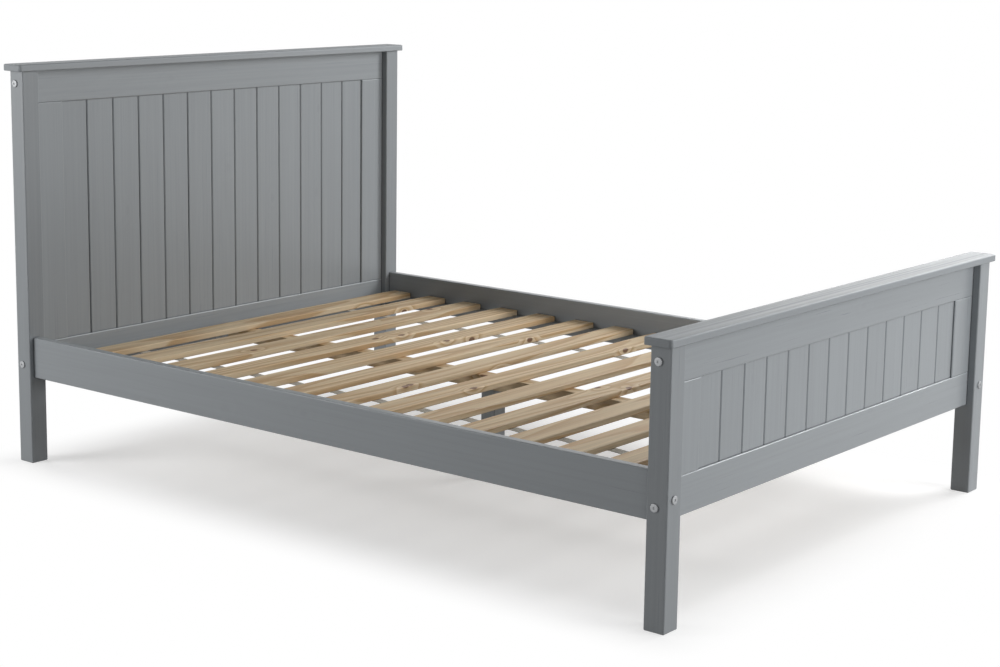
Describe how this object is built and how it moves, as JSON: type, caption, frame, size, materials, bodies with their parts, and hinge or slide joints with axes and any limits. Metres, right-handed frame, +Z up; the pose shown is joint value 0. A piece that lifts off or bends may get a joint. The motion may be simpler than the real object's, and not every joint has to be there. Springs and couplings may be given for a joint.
{
  "type": "bed frame",
  "caption": "Double bed frame in grey painted timber: panelled head and foot boards with tongue-and-groove planks and flat caps, square posts, side rails and a slatted deck.",
  "frame": {"origin": "on the floor at the middle of the bed's outline", "axes": "+X across the bed, +Y from the foot to the head, +Z up"},
  "size_m": [1.45, 2.036, 1.031],
  "materials": {
    "grey_paint": "satin grey paint on pine",
    "pine": "planed, unfinished pine",
    "zinc_steel": "zinc plated",
    "beech": "turned beech",
    "webbing": "woven tape"
  },
  "bodies": {
    "root": {"head_cap": "grey_paint", "head_top_rail": "grey_paint", "head_bottom_rail": "grey_paint", "head_planks": "grey_paint", "head_post_left": "grey_paint", "head_stile_left": "grey_paint", "head_post_right": "grey_paint", "head_stile_right": "grey_paint", "head_hanger": "zinc_steel", "foot_cap": "grey_paint", "foot_top_rail": "grey_paint", "foot_bottom_rail": "grey_paint", "foot_planks": "grey_paint", "foot_post_left": "grey_paint", "foot_stile_left": "grey_paint", "foot_post_right": "grey_paint", "foot_stile_right": "grey_paint", "foot_hanger": "zinc_steel", "side_rail_left": "grey_paint", "ledger_left": "grey_paint", "slat_tape_left": "webbing", "side_rail_right": "grey_paint", "ledger_right": "grey_paint", "slat_tape_right": "webbing", "slat_01": "pine", "slat_02": "pine", "slat_03": "pine", "slat_04": "pine", "slat_05": "pine", "slat_06": "pine", "slat_07": "pine", "slat_08": "pine", "slat_09": "pine", "slat_10": "pine", "slat_11": "pine", "slat_12": "pine", "slat_13": "pine", "slat_14": "pine", "centre_rail": "pine", "centre_leg": "grey_paint", "leg_stud": "zinc_steel", "leg_insert_nut": "zinc_steel", "panel_bolts": "zinc_steel", "side_rail_bolts": "zinc_steel", "panel_barrel_nuts": "zinc_steel", "side_rail_barrel_nuts": "zinc_steel", "ledger_screws": "zinc_steel", "slat_screws": "zinc_steel", "hanger_screws": "zinc_steel", "panel_dowels": "beech", "side_rail_dowels": "beech", "cap_dowels": "beech"}
  },
  "joints": []
}
